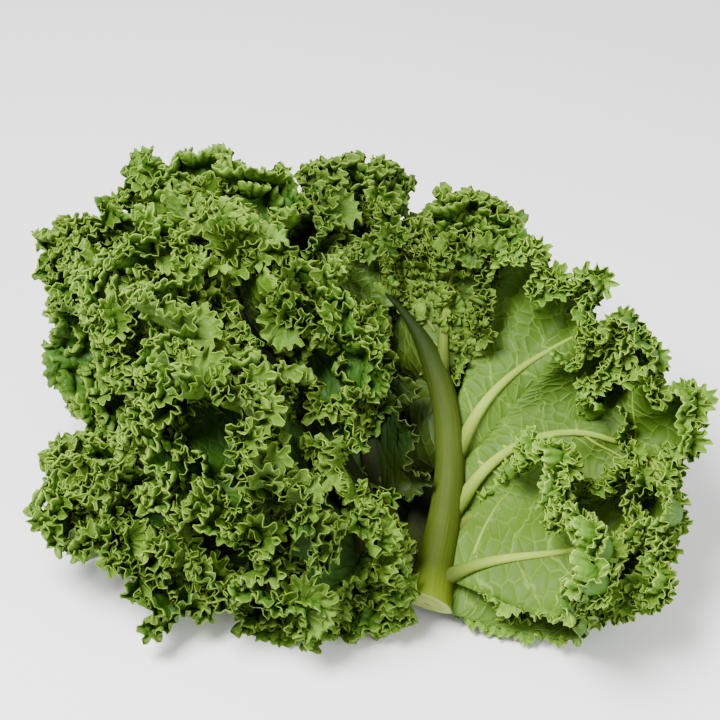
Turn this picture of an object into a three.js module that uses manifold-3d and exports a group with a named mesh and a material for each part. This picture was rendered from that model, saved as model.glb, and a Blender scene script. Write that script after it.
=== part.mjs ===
// A bunch of curly kale lying on its side: nine leaves, cut ends together at the front (-Y), frilly blades
// fanned out to the left, the back and the right. Millimetres, +Z up, standing on Z = 0.
//
// A leaf is one body. Its stalk runs on as the midrib, and lobes grow from the midrib in pairs, with one
// more at the tip. A lobe is a thin fan: it starts along the midrib, widens outwards, curls, and its edge
// is folded into waves. Lobes give way to the leaves that were laid down before them, so that no leaf runs
// through another.

import * as THREE from "three";
import { mergeVertices } from "three/addons/utils/BufferGeometryUtils.js";
import Module from "manifold-3d";

const wasm = await Module();
wasm.setup();

// Driving dimensions, in mm and degrees.
const BLADE_THICKNESS = 0.9;
const BLADE_CLEARANCE = 1.3; // least air between a lobe and another leaf
const STALK_RADIUS = 6;
const STALK_TAPER = 0.35; // share of the radius that is gone towards the tip
const STALK_TIP_TAPER = 0.8; // share of the rest that is gone in the last third
const STALK_FLARE = 2.4; // how much thicker the cut end is
const STALK_FLARE_LENGTH = 0.06; // of the flare, as a share of the midrib
const STALK_FLATNESS = 0.45; // height of the stalk's upper side over that of its round back
const RIB_WIDTH = 5.5; // of a lobe's own rib, where it leaves the midrib
const RIB_HEIGHT = 2.6;
const RIB_REACH = 0.72; // share of the lobe's length
const PRESSED_DEPTH = 3; // leaf within this height of the ground is pressed flat onto it
const GROUND_GAP = 0;

const LOBE_SPREAD = 50; // half angle of the fan
const LOBE_TIP_SPREAD = 65;
const LAYER_ANGLE = 20; // lobes along a midrib lie in two layers, this much above and below
const LOWER_CURL = 0.35; // share of a leaf's curl that its lower lobes have
const EDGE_ROUNDING = 0.42; // how much shorter a lobe is at its sides
const EDGE_TIP_ROUNDING = 0.3;
const LEAF_END = 0.96; // where the last pair of lobes ends along the midrib
const TIP_LOBE_AT = 0.93;
const EDGE_SURPLUS = 1.2; // how much longer the folded edge is than the plain one
const FOLD_SPACING = 38; // along the edge, between the crests of its broad waves
const FOLD_HEIGHT = 8;
const FOLD_OVERHANG = 0.12;
const PLEAT_SPACING = 13.5; // between the crests of the narrow pleats that ride on the waves
const PLEAT_HEIGHT = 3.9;

const LEAF_COLOUR = 0x4f7d2b;
const LEAF_BACK_COLOUR = 0x86a65c;

// The leaves' points are measured from near the cut ends. The origin is under the middle of the whole
// bunch.
const MIDDLE = { x: -8.5, y: 8 };

// How finely the solids are divided.
const CURL_STEPS = 12;
const STALK_STEPS = 7;
const STALK_SIDES = 6;
const RIB_STEPS = 4;

const towardsFront = [0, -0.74, 0.67];

// Each leaf: its midrib's four Bezier points from cut end to tip, which way its upper side faces at both
// ends, pairs of lobes, where the first starts along the midrib, and for left and right lobes their
// length, the angle they rise at and the angle they curl through. The leaf at the front right shows its
// back, and its lobes are given one by one.
const LEAVES = [
  {
    name: "leaf_bottom",
    midrib: [[6, -48, 6], [10, 0, 10], [4, 46, 24], [-2, 84, 26]],
    faces: [[0, 0, 1], [0, 0, 1]],
    seed: 8, pairs: 3, start: 0.15, reach: [82, 78], lift: [0, 0], curl: [-25, -25],
  },
  {
    name: "leaf_right_front",
    midrib: [[23, -84, 14], [41, -34, 33], [41, 0, 71], [6, 30, 87]],
    faces: [[0.1, 0.74, -0.67], [0, 0.5, -0.8]],
    seed: 1, stalk: 7, rimCurl: 4,
    lobes: [
      { side: 1, at: 0.06, angle: 70, lift: 2, length: 112, curl: -150, spread: 21,
        rounding: 0.3, rib: [0.7, 0.9, 1] },
      { side: 1, at: 0.15, angle: 74, lift: -25, length: 86, skew: 0.28, curl: -150, spread: 29,
        rounding: 0.1, rib: [-0.3, 0, 1] },
      { side: 1, at: 0.29, angle: 88, lift: 14, length: 106, curl: -150, spread: 19,
        rounding: 0.2, rib: [0.3, 0.5, 1] },
      { side: 1, at: 0.28, angle: 61, lift: 0, length: 132, curl: -150, skew: 0.05, spread: 28,
        rounding: 0.2, rib: [0.7, 2.2, 2] },
      { side: 1, at: 0.43, angle: 45, lift: 8, length: 104, curl: -150, spread: 26,
        rounding: 0.2, rib: [0.95, 1.3, 0.6] },
      { side: 1, at: 0.74, angle: 38, lift: 0, length: 52, curl: -110, spread: 42 },
      { side: -1, at: 0.2, angle: 70, lift: 75, length: 42, curl: 30, spread: 45 },
      { side: -1, at: 0.47, angle: 60, lift: 70, length: 45, curl: 30, spread: 45 },
      { side: -1, at: 0.72, angle: 50, lift: 50, length: 40, curl: 20, spread: 45 },
      { side: 0, at: 0.93, angle: 0, lift: 0, length: 34, curl: -80, spread: 60 },
    ],
  },
  {
    name: "leaf_left_front",
    midrib: [[2, -70, 34], [-8, -58, 60], [-34, -24, 82], [-76, 4, 96]],
    faces: [towardsFront, [-0.3, -0.6, 0.75]],
    seed: 2, pairs: 5, start: 0.02, reach: [72, 28], lift: [20, 25], curl: [65, 75], lowerCurl: 1,
    extra: [
      { side: -1, at: 0.03, angle: 186, lift: 35, length: 40, curl: 40, spread: 46 },
      { side: 1, at: 0.06, angle: 105, lift: 70, length: 30, curl: 60, spread: 50 },
    ],
  },
  {
    name: "leaf_left_low",
    midrib: [[-8, -58, 8], [-40, -66, 18], [-80, -60, 22], [-108, -46, 30]],
    faces: [[0, -0.5, 0.87], [0, -0.4, 0.9]],
    seed: 3, pairs: 4, start: 0, reach: [46, 52], lift: [20, 15], curl: [60, 50], lowerCurl: 1,
  },
  {
    name: "leaf_left_middle",
    midrib: [[-7, -56, 21], [-45, -30, 38], [-92, 14, 54], [-117, 58, 74]],
    faces: [towardsFront, [-0.4, -0.5, 0.75]],
    seed: 9, pairs: 4, start: 0.2, reach: [54, 54], lift: [20, 20], curl: [65, 65],
  },
  {
    name: "leaf_left_back",
    midrib: [[-1, -54, 35], [-28, 0, 66], [-62, 38, 82], [-93, 66, 85]],
    faces: [towardsFront, [-0.2, -0.5, 0.8]],
    seed: 4, pairs: 4, start: 0.3, reach: [54, 58], lift: [25, 25], curl: [70, 70],
  },
  {
    name: "leaf_centre_back",
    midrib: [[8, -54, 21], [-2, -5, 52], [-6, 36, 78], [-6, 70, 86]],
    faces: [towardsFront, [0, -0.5, 0.8]],
    seed: 5, pairs: 4, start: 0.15, reach: [54, 54], lift: [20, 20], curl: [65, 65],
  },
  {
    name: "leaf_right_back",
    midrib: [[20, -53, 12], [33, -15, 36], [43, 32, 60], [46, 66, 70]],
    faces: [[0, -0.5, 0.8], [0, -0.5, 0.8]],
    seed: 6, pairs: 3, start: 0.25, reach: [54, 50], lift: [20, 20], curl: [65, 65],
  },
  {
    name: "leaf_right_low",
    midrib: [[34, -58, 7], [62, -54, 10], [84, -42, 12], [98, -26, 16]],
    faces: [[0, -0.2, 1], [0, -0.2, 1]],
    seed: 7, pairs: 2, start: 0.25, reach: [42, 40], lift: [15, 15], curl: [50, 50],
  },
];

// What a lobe tries, in this order, to stay clear of the other leaves: extra lift in degrees, share of its
// length.
const GIVE_WAY = [];
for (const length of [1, 0.85, 0.7, 0.55, 0.4, 0.28])
  for (const lift of [0, 15, -15, 30, -30, 45, -45, 60, -60]) GIVE_WAY.push({ lift, length });

const radians = THREE.MathUtils.degToRad;
const smooth = THREE.MathUtils.smoothstep;
const mix = (vectors, weights) =>
  vectors.reduce((sum, v, i) => sum.addScaledVector(v, weights[i]), new THREE.Vector3());

// A repeatable draw from -1 to 1 for these whole numbers.
function draw(a, b = 0, c = 0) {
  const v = Math.sin(a * 12.9898 + b * 78.233 + c * 37.719) * 43758.5453;
  return 2 * (v - Math.floor(v)) - 1;
}

// A smooth wobble of about -1 to 1: three sines that never repeat together.
function wobble(x, seed) {
  const shift = [0, 1, 2].map((k) => draw(seed, k, 5) * Math.PI);
  const waves = [Math.sin(x + shift[0]), 0.6 * Math.sin(1.73 * x + shift[1]), 0.5 * Math.sin(2.91 * x + shift[2])];
  return (waves[0] + waves[1] + waves[2]) / 1.6;
}

// The midrib as a curve with a frame: tangent, the leaf's upper side and its left.
class Midrib {
  constructor(leaf) {
    this.curve = new THREE.CubicBezierCurve3(...leaf.midrib.map((p) => new THREE.Vector3(...p)));
    this.faces = leaf.faces.map((f) => new THREE.Vector3(...f));
    this.radius = leaf.stalk ?? STALK_RADIUS;
  }
  at(s) {
    return this.curve.getPoint(THREE.MathUtils.clamp(s, 0, 1));
  }
  frame(s) {
    const tangent = this.curve.getTangent(s);
    const up = mix(this.faces, [1 - s, s]);
    up.addScaledVector(tangent, -up.dot(tangent)).normalize();
    return { tangent, up, left: new THREE.Vector3().crossVectors(up, tangent) };
  }
  radiusAt(s) {
    const slim = (1 - STALK_TAPER * s ** 0.8) * (1 - STALK_TIP_TAPER * smooth(s, 0.65, 1));
    return this.radius * slim + STALK_FLARE * Math.exp(-s / STALK_FLARE_LENGTH);
  }
}

// The lobes of a leaf: pairs along the midrib, larger in its middle, and one at the tip.
function lobesOf(leaf) {
  const rimCurl = leaf.rimCurl ?? 1;
  const given = (lobe, id) => ({
    id, root: 0.07 * Math.abs(lobe.side), roll: 0, cup: 0, skew: 0, rounding: EDGE_ROUNDING, rimCurl, ...lobe,
  });
  if (leaf.lobes) return leaf.lobes.map(given);
  const lobes = [];
  const bladeLength = LEAF_END - leaf.start;
  for (let pair = 0; pair < leaf.pairs; pair++) {
    for (const [k, side] of [1, -1].entries()) {
      const id = pair * 2 + k;
      const vary = (c) => draw(leaf.seed, id, c);
      const f = (pair + 0.5) / leaf.pairs;
      const size = Math.sin(Math.PI * (0.22 + 0.62 * f)) ** 0.8;
      lobes.push({
        id, side, rimCurl,
        at: leaf.start + bladeLength * (f + (0.08 * side) / leaf.pairs),
        root: (0.55 * bladeLength) / leaf.pairs,
        angle: 78 - 38 * f + 6 * vary(1),
        lift: leaf.lift[k] + 5 * vary(2) + (pair % 2 ? LAYER_ANGLE : -LAYER_ANGLE),
        roll: 8 * vary(3),
        length: leaf.reach[k] * size * (1 + 0.08 * vary(4)),
        curl: leaf.curl[k] * (pair % 2 ? 1 : leaf.lowerCurl ?? LOWER_CURL) + 5 * vary(5),
        cup: 10 * vary(6),
        skew: 0,
        spread: LOBE_SPREAD,
        rounding: EDGE_ROUNDING,
      });
    }
  }
  const id = leaf.pairs * 2;
  const vary = (c) => draw(leaf.seed, id, c);
  lobes.push({
    id, side: 0, rimCurl, at: TIP_LOBE_AT, root: 0, angle: 0, skew: 0,
    lift: 5 + 6 * vary(2),
    roll: 5 * vary(3),
    length: Math.max(...leaf.reach) * 0.75,
    curl: (leaf.curl[0] + leaf.curl[1]) * 0.4,
    cup: 10 * vary(6),
    spread: LOBE_TIP_SPREAD,
    rounding: EDGE_TIP_ROUNDING,
  });
  const extra = (leaf.extra ?? []).map((lobe, k) => given(lobe, id + 1 + k));
  return [...lobes, ...extra];
}

// The smooth surface of a lobe: across runs from -1 to 1 along its edge, out from 0 at the midrib to 1 at
// the edge.
function lobeSurface(lobe, midrib) {
  const { tangent, up, left } = midrib.frame(lobe.at);
  const [angle, lift, roll, spread] = [lobe.angle, lobe.lift, lobe.roll, lobe.spread].map(radians);
  const turn = lobe.side || 1;
  let axis, across, normal;
  if (lobe.side) {
    const outwards = mix([left, up], [Math.cos(lift) * lobe.side, Math.sin(lift)]);
    normal = mix([up, left], [Math.cos(lift), -Math.sin(lift) * lobe.side]);
    axis = mix([tangent, outwards], [Math.cos(angle), Math.sin(angle)]);
    across = mix([tangent, outwards], [Math.sin(angle), -Math.cos(angle)]);
  } else {
    axis = mix([tangent, up], [Math.cos(lift), Math.sin(lift)]);
    normal = mix([up, tangent], [Math.cos(lift), -Math.sin(lift)]);
    across = left.clone().negate();
  }
  const rolledAcross = mix([across, normal], [Math.cos(roll), Math.sin(roll)]);
  const rolledNormal = mix([normal, across], [Math.cos(roll), -Math.sin(roll)]);
  return (q, out) => {
    const ray = mix([axis, rolledAcross], [Math.cos(spread * q * turn), Math.sin(spread * q * turn)]);
    const length = lobe.length * (1 - lobe.rounding * Math.abs(q) ** 3) * (1 - lobe.skew * q);
    const curl = radians(lobe.curl + lobe.cup * q * q);
    let along = 0;
    let raised = 0;
    for (let k = 0; k < CURL_STEPS; k++) {
      const bent = curl * (out * ((k + 0.5) / CURL_STEPS)) ** lobe.rimCurl;
      along += (length * out * Math.cos(bent)) / CURL_STEPS;
      raised += (length * out * Math.sin(bent)) / CURL_STEPS;
    }
    return midrib.at(lobe.at + lobe.root * q * turn)
      .addScaledVector(ray, along)
      .addScaledVector(rolledNormal, raised);
  };
}

// A surface folded into waves: pushed along its normal by the wave and to the side by the overhang, so
// that a wave loops over a little, like the bends of a river. wave gives { height, overhang, phase } at a
// point.
function folded(surface, wave) {
  const h = 1e-3;
  return (q, out) => {
    const { height, overhang, phase } = wave(q, out);
    if (height === 0) return surface(q, out);
    const acrossDir = surface(q + h, out).sub(surface(q - h, out)).normalize();
    const outDir = surface(q, out + h).sub(surface(q, out - h)).normalize();
    const normal = new THREE.Vector3().crossVectors(acrossDir, outDir).normalize();
    return surface(q, out)
      .addScaledVector(normal, height * Math.cos(phase))
      .addScaledVector(acrossDir, overhang * height * Math.sin(2 * phase));
  };
}

const edgeLength = (lobe) => 2 * radians(lobe.spread) * lobe.length * 0.85 * EDGE_SURPLUS;

// Steps along a lobe's edge: one for each crest or hollow of a pleat.
const edgeSteps = (lobe) => 2 * Math.max(4, Math.round(edgeLength(lobe) / PLEAT_SPACING));

// The lobe with broad waves along its edge and pleats on top of them.
function ruffledSurface(lobe, midrib, leafSeed) {
  const seed = leafSeed * 100 + lobe.id;
  const folds = Math.max(2, Math.round(edgeLength(lobe) / FOLD_SPACING));
  const quarterTurns = Math.round(2 * draw(seed, 7));
  const steps = edgeSteps(lobe);
  const waved = folded(lobeSurface(lobe, midrib), (q, out) => {
    const grows = smooth(out, 0.3, 1.05);
    return {
      height: Math.min(FOLD_HEIGHT, 0.125 * lobe.length) * (1 + 0.3 * wobble(4 * q, seed + 1)) * grows,
      overhang: FOLD_OVERHANG * grows,
      phase: Math.PI * folds * (q + 1) + 0.5 * wobble(3 * q, seed) + (quarterTurns * Math.PI) / 2,
    };
  });
  return folded(waved, (q, out) => ({
    height: PLEAT_HEIGHT * (1 + 0.3 * wobble(9 * q, seed + 2)) * smooth(out, 0.45, 1.02),
    overhang: 0,
    phase: (Math.PI * steps * (q + 1)) / 2,
  }));
}

// Leaf that would reach into the ground lies pressed against it.
function pressed(point) {
  const z = point.z - GROUND_GAP;
  if (z < PRESSED_DEPTH) point.z = GROUND_GAP + PRESSED_DEPTH * Math.exp((z - PRESSED_DEPTH) / PRESSED_DEPTH);
  return point;
}

// Triangles between two rows of samples, given as each sample's place along the row and its vertex.
function zip(rowA, rowB) {
  const triangles = [];
  let a = 0;
  let b = 0;
  while (a < rowA.length - 1 || b < rowB.length - 1) {
    const stepA = b === rowB.length - 1 || (a < rowA.length - 1 && rowA[a + 1].place <= rowB[b + 1].place);
    if (stepA) triangles.push([rowA[a].vertex, rowA[++a].vertex, rowB[b].vertex]);
    else triangles.push([rowA[a].vertex, rowB[b + 1].vertex, rowB[b++].vertex]);
  }
  return triangles;
}

// A lobe as a closed thin solid: the same triangles on both faces, and a rim all round.
function lobeGeometry(lobe, midrib, leafSeed, thickness) {
  const surface = ruffledSurface(lobe, midrib, leafSeed);
  const steps = edgeSteps(lobe);
  const inner = 2 * Math.round(steps / 8);
  const layout = lobe.rimCurl > 1
    ? [[0, 2], [0.42, inner], [0.76, 2 * inner], [1, steps]]
    : [[0, 2], [0.6, inner], [1, steps]];
  const points = [];
  const rows = layout.map(([out, count]) => {
    const row = [];
    for (let i = 0; i <= count; i++) {
      row.push({ place: i / count, vertex: points.length });
      points.push(pressed(surface((2 * i) / count - 1, out)));
    }
    return row;
  });
  const sheet = rows.slice(1).flatMap((row, i) => zip(rows[i], row));
  const outline = [
    ...rows[0].map((v) => v.vertex),
    ...rows.slice(1, -1).map((row) => row.at(-1).vertex),
    ...rows.at(-1).map((v) => v.vertex).reverse(),
    ...rows.slice(1, -1).map((row) => row[0].vertex).reverse(),
  ];

  const flat = new THREE.BufferGeometry().setFromPoints(points).setIndex(sheet.flat());
  flat.computeVertexNormals();
  const normals = points.map((_, i) => new THREE.Vector3().fromBufferAttribute(flat.attributes.normal, i));
  const upper = points.map((p, i) => p.clone().addScaledVector(normals[i], thickness / 2));
  const under = points.map((p, i) => p.clone().addScaledVector(normals[i], -thickness / 2));
  const n = points.length;
  const rim = outline.flatMap((v, i) => {
    const w = outline[(i + 1) % outline.length];
    return [w, v, v + n, w, v + n, w + n];
  });
  const index = [...sheet.flat(), ...sheet.flatMap(([a, b, c]) => [c + n, b + n, a + n]), ...rim];
  return new THREE.BufferGeometry().setFromPoints([...upper, ...under]).setIndex(index);
}

// A bar of one cross-section after another, each a list of points, closed at both ends.
function barGeometry(sections) {
  const sides = sections[0].length;
  const index = [];
  const end = (sections.length - 1) * sides;
  for (let p = 0; p < end; p += sides) {
    for (let k = 0; k < sides; k++) {
      const [a, b] = [p + k, p + ((k + 1) % sides)];
      index.push(a, a + sides, b, b, a + sides, b + sides);
    }
  }
  for (let k = 1; k < sides - 1; k++) index.push(0, k, k + 1, end, end + k + 1, end + k);
  return new THREE.BufferGeometry().setFromPoints(sections.flat()).setIndex(index);
}

// Stalk and midrib: a tapering bar with a round back and a flatter upper side.
function stalkGeometry(midrib) {
  const sections = [];
  for (let i = 0; i <= STALK_STEPS; i++) {
    const s = i / STALK_STEPS;
    const { up, left } = midrib.frame(s);
    const radius = midrib.radiusAt(s);
    const section = [];
    for (let k = 0; k < STALK_SIDES; k++) {
      const a = (2 * Math.PI * (k + 0.5)) / STALK_SIDES;
      const height = Math.sin(a) * (Math.sin(a) > 0 ? STALK_FLATNESS : 1);
      section.push(midrib.at(s).addScaledVector(left, radius * Math.cos(a)).addScaledVector(up, radius * height));
    }
    sections.push(section);
  }
  return barGeometry(sections);
}

// The rib on a lobe's back: a three-sided bar that thins outwards, sunk into the blade. lobe.rib says
// where on the lobe it runs: it leaves the midrib at the first number, across, and drops by the second at
// the edge.
function ribGeometry(lobe, midrib, leafSeed) {
  const surface = ruffledSurface(lobe, midrib, leafSeed);
  const h = 1e-3;
  const [start, drop, power] = lobe.rib;
  const path = (out) => surface(start - drop * out ** power, out);
  const sections = [];
  for (let i = 0; i <= RIB_STEPS; i++) {
    const f = i / RIB_STEPS;
    const out = RIB_REACH * f;
    const q = start - drop * out ** power;
    const acrossDir = surface(q + h, out + h).sub(surface(q - h, out + h)).normalize();
    const along = path(out + h).sub(path(out)).normalize();
    const normal = new THREE.Vector3().crossVectors(acrossDir, along).normalize();
    const sideways = new THREE.Vector3().crossVectors(along, normal);
    const thinner = 1 - 0.8 * f;
    const point = (x, z) => path(out).addScaledVector(sideways, x * thinner).addScaledVector(normal, z);
    sections.push([
      point(-RIB_WIDTH / 2, 0),
      point(0, -RIB_HEIGHT * thinner - BLADE_THICKNESS / 2),
      point(RIB_WIDTH / 2, 0),
    ]);
  }
  return barGeometry(sections);
}

// A closed geometry as a solid that can be joined and cut, turned inside out first if it needs that.
function solidOf(geometry) {
  const merged = mergeVertices(geometry, 1e-3);
  const vertProperties = new Float32Array(merged.attributes.position.array);
  const triVerts = new Uint32Array(merged.index.array);
  const solid = new wasm.Manifold(new wasm.Mesh({ numProp: 3, vertProperties, triVerts }));
  if (solid.volume() > 0) return solid;
  for (let i = 0; i < triVerts.length; i += 3) [triVerts[i], triVerts[i + 1]] = [triVerts[i + 1], triVerts[i]];
  return new wasm.Manifold(new wasm.Mesh({ numProp: 3, vertProperties, triVerts }));
}

// The shells of a mesh: lists of triangles that hang together.
function shellsOf(vertexCount, triVerts) {
  const parent = Array.from({ length: vertexCount }, (_, v) => v);
  const rootOf = (v) => {
    while (parent[v] !== v) v = parent[v] = parent[parent[v]];
    return v;
  };
  for (let i = 0; i < triVerts.length; i += 3) {
    parent[rootOf(triVerts[i + 1])] = rootOf(triVerts[i]);
    parent[rootOf(triVerts[i + 2])] = rootOf(triVerts[i]);
  }
  const shells = new Map();
  for (let i = 0; i < triVerts.length; i += 3) {
    const root = rootOf(triVerts[i]);
    if (!shells.has(root)) shells.set(root, []);
    shells.get(root).push(triVerts[i], triVerts[i + 1], triVerts[i + 2]);
  }
  return [...shells.values()];
}

// A solid's outer surface. Pockets sealed between crossing lobes are filled and loose scraps dropped.
function geometryOf(solid) {
  const { vertProperties, triVerts } = solid.getMesh();
  const shells = shellsOf(vertProperties.length / 3, triVerts);
  const outer = shells.reduce((a, b) => (b.length > a.length ? b : a));
  const geometry = new THREE.BufferGeometry();
  geometry.setAttribute("position", new THREE.BufferAttribute(vertProperties, 3));
  geometry.setIndex(outer);
  const merged = mergeVertices(geometry, 0);
  merged.computeVertexNormals();
  return merged;
}

const boxOf = (solid) => {
  const { min, max } = solid.boundingBox();
  return new THREE.Box3(new THREE.Vector3(...min), new THREE.Vector3(...max));
};

// True if the solid meets none of the others.
function isClear(solid, others) {
  const box = boxOf(solid);
  return others.every((other) => !box.intersectsBox(other.box) || solid.intersect(other.solid).isEmpty());
}

// Everything below the ground plane, to trim what rests on it flat.
function belowGround() {
  const slab = new THREE.BoxGeometry(600, 600, 100).translate(0, 0, -50);
  for (const name of ["normal", "uv"]) slab.deleteAttribute(name);
  return solidOf(slab);
}

// Lays the leaves down one after another and gives each as one solid.
function layDown() {
  const midribs = LEAVES.map((leaf) => new Midrib(leaf));
  const stalks = midribs.map((midrib) => solidOf(stalkGeometry(midrib)));
  const stalkObstacles = stalks.map((solid) => ({ solid, box: boxOf(solid) }));
  const ground = belowGround();
  const laid = [];
  return LEAVES.map((leaf, i) => {
    const others = [...laid, ...stalkObstacles.filter((_, k) => k !== i)];
    const lobes = [];
    for (const lobe of lobesOf(leaf)) {
      const make = ({ lift, length }, thickness) => {
        const tried = { ...lobe, lift: lobe.lift + lift, length: lobe.length * length };
        return solidOf(lobeGeometry(tried, midribs[i], leaf.seed, thickness));
      };
      const choice = GIVE_WAY.find((c) => isClear(make(c, BLADE_THICKNESS + 2 * BLADE_CLEARANCE), others));
      if (!choice) continue;
      lobes.push(make(choice, BLADE_THICKNESS));
      if (!lobe.rib) continue;
      const ribbed = { ...lobe, lift: lobe.lift + choice.lift, length: lobe.length * choice.length };
      lobes.push(solidOf(ribGeometry(ribbed, midribs[i], leaf.seed)));
    }
    laid.push(...lobes.map((solid) => ({ solid, box: boxOf(solid) })));
    return lobes.reduce((whole, lobe) => whole.add(lobe), stalks[i]).subtract(ground);
  });
}

function leafMaterial(leaf) {
  const green = new THREE.Color(leaf.lobes ? LEAF_BACK_COLOUR : LEAF_COLOUR);
  green.offsetHSL(0.01 * draw(leaf.seed, 1), 0, 0.03 * draw(leaf.seed, 2));
  return new THREE.MeshStandardMaterial({ color: green, roughness: 0.55, metalness: 0 });
}

const bunch = new THREE.Group();
bunch.position.set(-MIDDLE.x, -MIDDLE.y, 0);
layDown().forEach((solid, i) => {
  const mesh = new THREE.Mesh(geometryOf(solid), leafMaterial(LEAVES[i]));
  mesh.name = LEAVES[i].name;
  bunch.add(mesh);
});

export default bunch;
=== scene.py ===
"""A bunch of curly kale lying on its side: nine leaves, each finely ruffled, veined and stalked.

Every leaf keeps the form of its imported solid, but for some lobes at the front right, low at the left and
deep inside. Added to it are the small curls and teeth of the edge, the ruffles that stand on the blade, the
ribs and veins, the grooves of the stalk and its cut face. Leaves are worked out in mm and built in metres.
"""
import math

import bpy
import numpy as np
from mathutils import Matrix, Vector
from mathutils.bvhtree import BVHTree
from mathutils.kdtree import KDTree


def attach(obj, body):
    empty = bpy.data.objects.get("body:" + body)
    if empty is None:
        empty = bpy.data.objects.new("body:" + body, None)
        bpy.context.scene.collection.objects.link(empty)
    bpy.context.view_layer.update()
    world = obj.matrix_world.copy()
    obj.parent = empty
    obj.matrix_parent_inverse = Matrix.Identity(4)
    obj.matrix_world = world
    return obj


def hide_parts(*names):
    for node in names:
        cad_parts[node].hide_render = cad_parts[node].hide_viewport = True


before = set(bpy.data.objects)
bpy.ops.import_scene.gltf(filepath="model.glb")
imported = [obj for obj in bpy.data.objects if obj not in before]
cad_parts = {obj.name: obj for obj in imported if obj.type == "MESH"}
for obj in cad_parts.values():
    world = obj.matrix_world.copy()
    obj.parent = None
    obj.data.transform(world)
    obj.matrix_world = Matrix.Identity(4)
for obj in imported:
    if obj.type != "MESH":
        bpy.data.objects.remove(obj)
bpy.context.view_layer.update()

MM = 0.001
MIDDLE = np.array([-8.5, 8.0, 0.0])  # the leaves' points are measured from near the cut ends

# Form shared with the solids, in mm and degrees.
STALK_RADIUS = 6
STALK_TAPER = 0.35
STALK_TIP_TAPER = 0.8
STALK_FLARE = 2.4
STALK_FLARE_LENGTH = 0.06
STALK_FLATNESS = 0.45
PRESSED_DEPTH = 3
LOBE_SPREAD = 50
LOBE_TIP_SPREAD = 65
LAYER_ANGLE = 20
LOWER_CURL = 0.35
EDGE_ROUNDING = 0.42
EDGE_TIP_ROUNDING = 0.3
LEAF_END = 0.96
TIP_LOBE_AT = 0.93
EDGE_SURPLUS = 1.2
FOLD_SPACING = 38
FOLD_HEIGHT = 8
FOLD_OVERHANG = 0.12
PLEAT_SPACING = 13.5
PLEAT_HEIGHT = 3.9
PLEAT_START = 0.45  # share of the lobe that is smooth
CURL_AT = (np.arange(12) + 0.5) / 12  # shares of the way out at which a curl's slope is taken

# Finer form, added here.
SLOPE_STEP = 1e-3  # for slopes on a lobe, as a share of it
MATCH_GAP = 1.1  # a lobe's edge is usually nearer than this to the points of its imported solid
BLADE_THICKNESS = 0.4
SAG_WIDTH = 8  # how far beside a rib the blade lies deep
SAG_FADE = 0.35  # share of the lobe over which that fades towards the edge
NET_ALONG = 0.5  # the net of veins is laid out from the line to where the rib is this far out
PLEAT_OVERHANG = 0.2
CURL_SPACING = 5.2  # of the small curls along the edge
CURL_VARIATION = 0.3
CURL_HEIGHT = 0.36  # share of a curl's own spacing
CURL_OVERHANG = 0.22
CURL_DEPTH = 11  # how far in from the edge the small curls reach
TOOTH_LENGTH = 1.7
TOOTH_DEPTH = 4  # how far in from the edge the teeth reach
FRILL_SPACING = 9
FRILL_REACH = 0.62  # share of the lobe that has frills
FRILL_DEPTH = 31  # and no further in than this
FRILL_WIDTH = 0.93  # share of the lobe's width
FRILL_HEIGHT = 10
FRILL_SUNK = 0.3  # into the blade that it stands on
FRILL_LEAN = 65
SIDE_FRILL_LEAN = 35
SIDE_FRILL_HEIGHT = 0.75  # share of the other frills'
FRILL_BEND = 55
FRILL_PLEAT = 0.42  # share of the frill's height
FRILL_NET_FROM = 40  # its veins are placed as if it stood this far out on a lobe
SHORTEST_FRILL = 8
SAMPLE = 0.98  # between the points along an edge
SHADED_SAMPLE = 1.4  # the same where little sky is open
LEAST_COLUMNS = 24
EDGE_POINTS = 900  # that a lobe's edge is measured by
LINE_POINTS = 500  # that the line under a frill is measured by
SKY_STRIDE = 12  # of those points, one in so many is asked how much sky it sees
THINNING = 3  # how much further in the points are twice as far apart
BLADE_ROWS = (0, 1, 2.4, 4.2, 6.6, 10, 15, 21, 28, 37, 50, 68, 90)  # distances from the edge
ROWS_WITHIN = 0.93  # share of the lobe's length that they stay within
# The same on the leaf that shows its broad back.
FINE_ROWS = (0, 1, 2.4, 4.2, 6.6, 8.3, 10, 12.5, 15, 18, 21, 24.5, 28, 32.5, 37, 43, 50, 58, 68, 78, 90, 105)
FRILL_ROWS = (0, 0.1, 0.26, 0.5, 1)  # shares of the frill's height, from its edge down
OPEN = 0.24  # share of the sky that is open around what is seen well
HIDDEN = 0.09  # less than this, and it can hardly be seen from anywhere
RIB_REACH = 0.86  # share of a lobe that its rib runs along
RIB_RADIUS = 1.5
RIB_SWELL = 1.1  # how much thicker it is where it leaves the midrib, and how soon that is gone
RIB_SWELL_LENGTH = 9
RIB_TIP_RADIUS = 0.12
RIB_HEIGHT = 0.8  # above and below the blade, as shares of its radius
RIB_DEPTH = 0.35
RIB_FULL_LENGTH = 60  # a lobe shorter than this has a slimmer rib
RIB_JOIN_DOWN = 24  # how far down the stalk a rib starts
RIB_JOIN_OUT = 2.6  # how far towards the stalk's back it starts
RIB_JOIN_LENGTH = 15  # how soon it has come away from the stalk
RIB_JOIN_TAPER = 10  # it swells from its hidden end over this length
RIB_JOIN_END = 0.2  # share of its radius at that end
RIB_LOWEST_FOOT = 0.03  # of the midrib
RIB_SIDES = 10
RIB_STEPS = 26
BRANCH_SPACING = 17  # between the veins that branch off one side of a rib, on the leaf that shows its back
BRANCH_FIRST = 0.6  # share of that before the first
BRANCH_SLANT = 52
BRANCH_LENGTH = 0.5  # share of the lobe's
BRANCH_RADIUS = 1.0
BRANCH_SIDES = 6
BRANCH_STEPS = 18
BRANCH_LEAST = 9  # a branch vein cut shorter than this many points is left out
BRANCH_OUT = 0.92  # how far out and across on its lobe it may run
BRANCH_ACROSS = 0.97
BRANCH_COLOURED_FROM = 36  # a branch vein is as pale as a rib is from here on
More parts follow.
